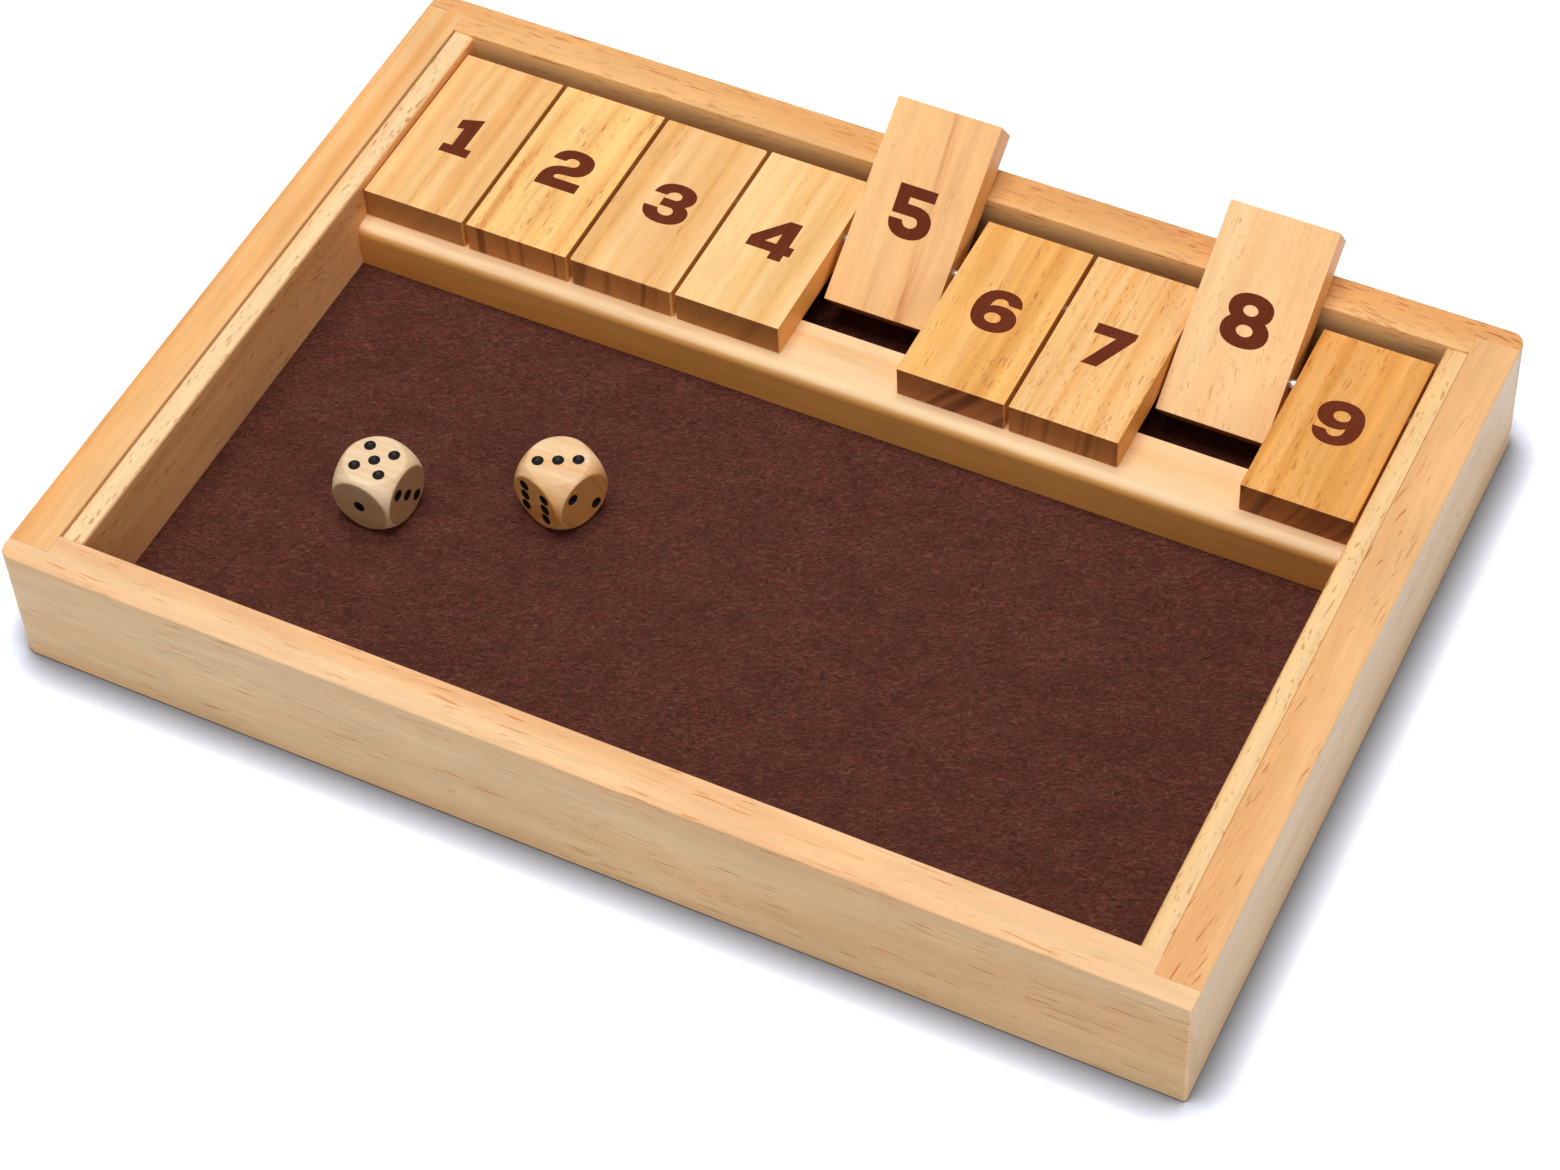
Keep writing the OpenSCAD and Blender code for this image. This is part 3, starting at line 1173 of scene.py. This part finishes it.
@dataclass
class TileBlank(EasedPiece):
    """One flip tile without its numbers."""

    easing: float = 0.5
    corner: float = 0.8
    bore: float = 0.12
    # Edges shorter than these lie round the bore, and at the tile's corners
    bore_edge: float = 2.0
    corner_edge: float = 12.0

    def radius(self, edge: bmesh.types.BMEdge) -> float:
        """The radius that an edge is eased to: small at the bore, larger on the four short edges.

        Args:
            edge: The edge.

        Returns:
            The radius, in millimetres.
        """
        length = edge.calc_length() / MM
        if length < self.bore_edge:
            return self.bore
        return self.corner if length < self.corner_edge else self.easing


@dataclass
class TileRow:
    """Nine tiles on the rod. Each has its number on both faces."""

    woods: tuple[PlanedWood, ...]
    raised: tuple[int, ...] = (5, 8)
    swing: float = math.radians(146.228)
    ink: StampedInk = StampedInk()

    def build(self) -> None:
        """Make and dress every tile."""
        ink = self.ink.build()
        rod = middle("hinge_rod")
        low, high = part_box("tile_1")
        for number, wood in enumerate(self.woods, 1):
            node = f"tile_{number}"
            lean = -self.swing if number in self.raised else 0.0
            centre = Vector((middle(node).x, (low.y + high.y) / 2, (low.z + high.z) / 2))
            swing = Matrix.Translation(rod) @ Matrix.Rotation(lean, 4, "X") @ Matrix.Translation(-rod)
            lay = Lay(swing @ centre, Facing.RIGHT, lean)
            TileBlank(node, node, "tile_wood").finish(wood.build(lay))
            on_top = Matrix.Translation((0, 0, (high.z - low.z) / 2))
            for side, half_turn in (("top", 0.0), ("under", math.pi)):
                place = swing @ Matrix.Translation(centre) @ Matrix.Rotation(half_turn, 4, "X") @ on_top
                numeral = Numeral(number).build(f"{node}_number_{side}", place)
                numeral.data.materials.append(ink)
                tie(numeral, node)


@dataclass
class Die:
    """One wooden die: a cube with its corners turned to a ball, drilled and painted pips."""

    node: str
    slot: str
    # Values on the top, front, right, left, back and under side
    faces: tuple[int, ...]
    turn: float
    wood: PlanedWood
    edge: float = 16.0
    ball: float = 21.4
    # Width of the soft edge between cube and ball, and the number of cells along a side
    soft: float = 0.3
    cells: int = 96
    pip: float = 2.8
    pip_depth: float = 0.5
    pip_offset: float = 3.3
    paint_skin: float = 0.04
    paint_points: int = 32
    paint_rings: int = 7
    merge: float = 0.005

    def sides(self) -> list[Matrix]:
        """Turns that bring the upper face to the top, front, right, left, back and under side, in place.

        Returns:
            One matrix for each side.
        """
        half, quarter = math.pi, math.pi / 2
        place = Matrix.Translation(middle(self.node)) @ Matrix.Rotation(self.turn, 4, "Z")
        turns = (
            (0, quarter), (quarter, 0), (quarter, quarter),
            (quarter, -quarter), (quarter, half), (half, 0),
        )
        return [place @ Matrix.Rotation(z, 4, "Z") @ Matrix.Rotation(x, 4, "X") for x, z in turns]

    def pips(self, value: int) -> list[tuple[float, float]]:
        """The places of the pips of one face.

        Args:
            value: The face's value.

        Returns:
            The places across the face, in millimetres.
        """
        corner = [(-1, 1), (1, -1), (-1, -1), (1, 1)]
        places = corner[: value // 2 * 2] if value < 6 else corner + [(-1, 0), (1, 0)]
        places = places + [(0, 0)] * (value % 2)
        return [(x * self.pip_offset, y * self.pip_offset) for x, y in places]

    def skin(self, across: Vector, pips: list[tuple[float, float]]) -> Vector:
        """One point of a side: on the cube or the ball, whichever is nearer, and sunk in a pip's dimple.

        Args:
            across: The direction from the middle, with z at 1.
            pips: The places of the side's pips.

        Returns:
            The point, in millimetres.
        """
        to_cube, to_ball = self.edge / 2 * across.length, self.ball / 2
        overlap = max(self.soft - abs(to_cube - to_ball), 0) / self.soft
        point = across.normalized() * (min(to_cube, to_ball) - overlap**2 * self.soft / 4)
        drill = ((self.pip / 2) ** 2 + self.pip_depth**2) / (2 * self.pip_depth)
        for x, y in pips:
            off = math.hypot(point.x - x, point.y - y)
            if off < self.pip / 2:
                point.z -= math.sqrt(drill**2 - off**2) - (drill - self.pip_depth)
        return point

    def body(self) -> bpy.types.Object:
        """Make the wooden body, with a dimple under every pip.

        Returns:
            The body.
        """
        shape = bmesh.new()
        steps = [2 * i / self.cells - 1 for i in range(self.cells + 1)]
        for side, value in zip(self.sides(), self.faces):
            pips = self.pips(value)
            grid = [
                [shape.verts.new(side @ (self.skin(Vector((x, y, 1)), pips) * MM)) for x in steps]
                for y in steps
            ]
            for row, after in zip(grid, grid[1:]):
                for i in range(self.cells):
                    shape.faces.new((row[i], row[i + 1], after[i + 1], after[i])).smooth = True
        bmesh.ops.remove_doubles(shape, verts=shape.verts, dist=self.merge * MM)
        return keep_shape(self.node + "_wood", shape)

    def paint(self, enamel: bpy.types.Material) -> bpy.types.Object:
        """Set a drop of enamel in every dimple, with Geometry Nodes.

        Args:
            enamel: The enamel's material.

        Returns:
            The pips, as one mesh.
        """
        points, facings = [], []
        for side, value in zip(self.sides(), self.faces):
            for x, y in self.pips(value):
                points.append(side @ (Vector((x, y, self.edge / 2)) * MM))
                facings.append(side.to_3x3() @ Vector((0, 0, 1)))
        mesh = bpy.data.meshes.new(self.node + "_pips")
        mesh.from_pydata(points, [], [])
        facing = mesh.attributes.new("facing", "FLOAT_VECTOR", "POINT")
        for item, vector in zip(facing.data, facings):
            item.vector = vector
        piece = new_object(self.node + "_pips", mesh)
        sizes = {
            "Pip radius": self.pip / 2 * MM,
            "Pip depth": self.pip_depth * MM,
            "Paint": self.paint_skin * MM,
        }
        tree, add = new_group("pip_setter", sizes)
        given = add("NodeGroupInput").outputs
        disc = {
            "Vertices": self.paint_points,
            "Side Segments": self.paint_rings,
            "Radius Top": 0.0,
            "Radius Bottom": given["Pip radius"],
            "Depth": given["Paint"],
        }
        disc = add("GeometryNodeMeshCone", disc, fill_type="NONE").outputs["Mesh"]
        flat = add("VectorMath", (add("GeometryNodeInputPosition"), (1, 1, 0)), operation="MULTIPLY")
        off = add("VectorMath", (flat,), operation="LENGTH").outputs["Value"]
        share = add("Math", (off, given["Pip radius"]), operation="DIVIDE")
        square = add("Math", (share, share), operation="MULTIPLY")
        dish = add("Math", (1.0, square), operation="SUBTRACT")
        sunk = add("Math", (dish, given["Pip depth"]), operation="MULTIPLY")
        level = add("Math", (given["Paint"], sunk), operation="SUBTRACT")
        laid = add("VectorMath", (flat, add("CombineXYZ", {2: level})))
        drop = add("GeometryNodeSetPosition", {"Geometry": disc, "Position": laid})
        towards = add("GeometryNodeInputNamedAttribute", {"Name": "facing"}, data_type="FLOAT_VECTOR")
        set_in = {
            "Points": given["Geometry"],
            "Instance": add("GeometryNodeSetShadeSmooth", {"Geometry": drop}),
            "Rotation": add("FunctionNodeAlignRotationToVector", {"Vector": towards.outputs[0]}, axis="Z"),
        }
        real = add("GeometryNodeRealizeInstances", (add("GeometryNodeInstanceOnPoints", set_in),))
        add("NodeGroupOutput", (add("GeometryNodeSetMaterial", {"Geometry": real, "Material": enamel}),))
        apply_group(piece, tree, sizes)
        return piece

    def build(self, enamel: bpy.types.Material) -> None:
        """Make and dress the die.

        Args:
            enamel: The material of the pips.
        """
        body = self.body()
        body.data.materials.append(self.wood.build(Lay(middle(self.node), Facing.FRONT)))
        tie(body, self.node)
        tie(self.paint(enamel), self.node)
        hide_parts(self.node)


@dataclass(frozen=True)
class Lamp:
    """One soft lamp that faces the game. Its power is in watts."""

    name: str
    place: tuple[float, float, float]
    size: tuple[float, float]
    power: float
    shape: str = "RECTANGLE"

    def hang(self) -> None:
        """Put the lamp in the scene."""
        light = bpy.data.lights.new(self.name, "AREA")
        light.shape = self.shape
        light.size, light.size_y = self.size[0] * MM, self.size[1] * MM
        light.energy = self.power
        place = Vector(self.place)
        aim = (-place).to_track_quat("-Z", "Y").to_matrix().to_4x4()
        new_object(self.name, light).matrix_world = Matrix.Translation(place * MM) @ aim


@dataclass(frozen=True)
class PhotoCamera:
    """The photograph's camera: where it stands, its three directions, its lens and its small shift."""

    eye: tuple[float, float, float] = (286.81, -513.57, 710.2)
    right: tuple[float, float, float] = (0.89581, 0.44252, -0.04118)
    down: tuple[float, float, float] = (0.30915, -0.68701, -0.65761)
    ahead: tuple[float, float, float] = (-0.3193, 0.57636, -0.75224)
    lens: float = 91.922
    sensor: float = 36.0
    shift: float = -0.09936

    def stand(self) -> None:
        """Put the camera in the scene."""
        data = bpy.data.cameras.new("camera")
        data.lens = self.lens
        data.sensor_width = self.sensor
        data.shift_y = self.shift
        axes = Matrix((self.right, -Vector(self.down), -Vector(self.ahead))).transposed().to_4x4()
        camera = new_object("camera", data)
        camera.matrix_world = Matrix.Translation(Vector(self.eye) * MM) @ axes
        bpy.context.scene.camera = camera


@dataclass
class Studio:
    """White table, a wide lamp overhead, weak panels at the right and in front, and the camera."""

    table_half: float = 3000.0
    air: float = 0.14
    white: StudioWhite = StudioWhite()
    camera: PhotoCamera = PhotoCamera()
    lamps: tuple[Lamp, ...] = (
        Lamp("overhead_soft_lamp", (-120, 0, 2200), (1600, 1600), 43.0, "DISK"),
        Lamp("side_panel", (1800, -700, 750), (1600, 900), 8.0),
        Lamp("front_panel", (-300, -2300, 800), (2400, 1000), 4.2),
    )

    def build(self) -> None:
        """Make the table, the lights and the camera."""
        half = self.table_half * MM
        mesh = bpy.data.meshes.new("table")
        corners = [(-half, -half, 0), (half, -half, 0), (half, half, 0), (-half, half, 0)]
        mesh.from_pydata(corners, [], [(0, 1, 2, 3)])
        mesh.materials.append(self.white.build())
        new_object("table", mesh)
        for lamp in self.lamps:
            lamp.hang()
        self.light_world()
        self.camera.stand()

    def light_world(self) -> None:
        """Fill the air with weak light, and show a white background."""
        world = bpy.data.worlds.new("studio")
        bpy.context.scene.world = world
        world.use_nodes = True
        world.node_tree.nodes.clear()
        add = partial(add_node, world.node_tree)
        air, white = (add("Background", ((1, 1, 1, 1), strength)) for strength in (self.air, 1.0))
        add("OutputWorld", (add("MixShader", (seen_directly(add), air, white)),))


RAIL_ENDS = ("#D9B88F", "#C9A77C")
PLAIN_FLECKS = Flecks(share=0.1, strength=0.3)
# For each rail, the two tones after the streak colour are painted light and shade: one for its outer face and
# one for its inner face, which on the back rail is lighter than the top
RAIL_WOODS = {
    "front_rail": PlanedWood(
        "front_rubberwood", "#F8CD9D", "#F6C693", "#ECAB73", "#E1BC8D", "#DDA46C", *RAIL_ENDS,
        seed=3.0, ring=7.0, growth=0.15, cloud=0.4,
        flecks=Flecks(length=16.0, width=0.75, share=0.65, strength=0.8, gathered=0.44, colour="#D98A4A"),
    ),
    "back_rail": PlanedWood(
        "back_rubberwood", "#F4BC7D", "#EFB06E", "#DF985B", "#F0C090", "#FFC982", *RAIL_ENDS,
        seed=11.0, ring=9.0, growth=0.1, cloud=0.4,
        flecks=Flecks(width=0.8, share=0.8, strength=0.6, gathered=0.38, slant=0.05, colour="#C06E3E"),
    ),
    "left_rail": PlanedWood(
        "left_rubberwood", "#F7C285", "#F3B470", "#EAA15B", "#F0C090", "#DDA46C", *RAIL_ENDS,
        seed=17.0, ring=5.0, growth=0.4, flecks=PLAIN_FLECKS,
    ),
    "right_rail": PlanedWood(
        "right_rubberwood", "#F0BA81", "#EDB276", "#E49E61", "#D7B58C", "#DDA46C", *RAIL_ENDS,
        seed=23.0, ring=9.0, growth=0.05, cloud=0.3,
        flecks=Flecks(
            length=14.0, width=0.62, share=0.62, strength=0.85, gathered=0.5, slant=0.13, colour="#BC6834"
        ),
    ),
}
# Both strips get painted shade on their inner face, and a dark line along their joint with the side rail,
# painted shade of the gap between them
STRIP = {
    "side": "#EAAC70",
    "joint": 2.6,
    "ring": 4.0,
    "growth": 0.2,
    "flecks": Flecks(length=4.0, width=0.9, share=0.6, strength=0.6, gathered=0.36, colour="#B87838"),
}
LINING_WOODS = {
    "left_strip": PlanedWood("left_strip_pine", "#FCD9A7", "#F9CF99", "#EFB979", seed=29.0, **STRIP),
    "right_strip": PlanedWood("right_strip_pine", "#F8D199", "#F6C88B", "#EBB06C", seed=37.0, **STRIP),
    # The divider's last tone is painted shade on its front face
    "divider_bar": PlanedWood(
        "divider_pine", "#FBD6A7", "#F9CC97", "#EDB87C", "#E39E50",
        seed=41.0, ring=7.0, growth=0.15, flecks=PLAIN_FLECKS,
    ),
}


def tile_wood(number: int, tones: str, flecks: Flecks, *rows: tuple[float, ...], **more: float) -> PlanedWood:
    """The pine of one tile.

    Args:
        number: The tile's number.
        tones: The colours of the face's light, its body and its streaks, then the painted shade of the long
            edge that faces right, then the end grain's colours where it shows.
        flecks: The pores.
        rows: The streaks, each with its distance from the tile's left side first.
        more: Other fields of the wood.

    Returns:
        The wood.
    """
    half_tile, first_seed, seed_step = 13.5, 50.0, 7.0
    # The fourth tone is painted shade on the long edge that faces right
    light, body, streak, side, *ends = tones.split()
    streaks = tuple(Streak(half_tile - place, *rest) for place, *rest in rows)
    seed = first_seed + seed_step * number
    more.update(zip(("end", "end_dark"), ends))
    return PlanedWood(
        f"tile_{number}_pine", light, body, streak, side, seed=seed, flecks=flecks, streaks=streaks, **more
    )


FEW = Flecks(length=5.0, width=0.7, share=0.4, strength=0.42, gathered=0.52, colour="#BE7836")
MANY = Flecks(length=5.0, width=0.7, share=0.6, strength=0.5, gathered=0.38, colour="#B86C34")
PALE = Flecks(length=4.0, width=0.8, share=0.6, strength=0.45, gathered=0.44, colour="#C68244")
TILE_WOODS = (
    tile_wood(
        1, "#FACA8A #F5BC79 #E4A45B #E0A050 #BB7E42 #AC6E39", FEW,
        (6, 1.8, 0.45), (10, 1.6, 0.4), (17, 1.4, 0.5), (20, 1.5, 0.35),
        ring=4.5, growth=0.25, tilt=0.7,
    ),
    tile_wood(
        2, "#FFD288 #FFC677 #E0954D #E0A050 #C77F40 #783C15", MANY,
        (3.7, 1.7, 0.7), (14, 2.2, 0.35), (23.5, 1.3, 0.5), (11, 1.2, 0.3),
        ring=6.0, growth=0.2, cloud=0.3, tilt=0.1,
    ),
    tile_wood(
        3, "#FBCC8F #F7C080 #E5A85C #E0A050 #C37E40 #854A1C", FEW,
        (10, 1.5, 0.3), (19.5, 0.9, 0.65), (3, 1.0, 0.25),
        ring=6.0, growth=0.2, tilt=0.15,
    ),
    tile_wood(
        4, "#FDD295 #F9C785 #E8AF64 #EDA454 #B4763A #9F612F", FEW,
        (8, 1.5, 0.35), (17.5, 1.2, 0.4),
        ring=6.0, growth=0.2, tilt=0.6,
    ),
    tile_wood(
        5, "#FEC88A #FBC080 #D0864D #E8A860", FEW,
        (19.4, 1.7, 0.5, -0.07), (19.0, 0.6, 0.35, -0.07), (23, 2.2, 0.25), (12, 2.0, 0.15),
        ring=8.0, growth=0.06, cloud=0.1, wander=2.0,
    ),
    tile_wood(
        6, "#F8BF73 #F3B261 #DD984A #D99646 #AD6839 #683214", MANY,
        (7.5, 1.0, 0.4), (11, 1.0, 0.4), (16, 1.7, 0.4),
        ring=4.5, growth=0.3, tilt=0.9,
    ),
    tile_wood(
        7, "#FBC685 #F7BC76 #E5A458 #E09A48 #B6733B #80451B", MANY,
        (4, 0.9, 0.4), (9.3, 0.8, 0.4), (11.6, 0.8, 0.4), (17, 0.8, 0.4),
        ring=3.6, growth=0.45, tilt=0.15, wander=3.0,
    ),
    tile_wood(8, "#FED29A #FDC88D #EFB174 #E8A860", PALE, ring=8.0, growth=0.1, cloud=0.2),
    tile_wood(
        9, "#EFB064 #E9A453 #D38C3C #D08C40 #A3602D #6B3414", MANY,
        (6, 1.7, 0.45), (13, 1.7, 0.45), (21, 1.2, 0.3),
        ring=4.5, growth=0.4, tilt=0.5,
    ),
)
DIE_GRAIN = {"ring": 3.0, "flecks": Flecks(length=3.0, width=0.5, share=0.15, strength=0.3)}
# A die's side tone is painted shade on the faces towards the front
PALE_DIE = PlanedWood(
    "pale_turned_wood", "#F8DCB8", "#F4D2A9", "#E0B78B",
    side="#C6A57C", end="#AF845C", end_dark="#A17045", seed=61.0, **DIE_GRAIN,
)
GOLDEN_DIE = PlanedWood(
    "golden_turned_wood", "#F7D1A4", "#F2C694", "#DCA469",
    side="#E7A55C", end="#CE8F4E", end_dark="#B9773C", seed=67.0, **DIE_GRAIN,
)


def main() -> None:
    """Build the game, the studio and the camera in order."""
    logging.basicConfig(level=logging.INFO, format="%(name)s: %(message)s")
    Studio().build()
    RailFrame(woods=RAIL_WOODS).build()
    Lining(woods=LINING_WOODS).build()
    TrayFloor().build()
    HingeRod().build()
    TileRow(TILE_WOODS).build()
    enamel = GlossPaint().build()
    Die("left_die", "pale_die_wood", (5, 1, 3, 4, 6, 2), math.radians(-3), PALE_DIE).build(enamel)
    Die("right_die", "golden_die_wood", (3, 6, 2, 5, 1, 4), math.radians(-19), GOLDEN_DIE).build(enamel)
    bpy.context.scene.view_settings.view_transform = "Standard"
    bpy.context.view_layer.update()


if __name__ == "__main__":
    main()
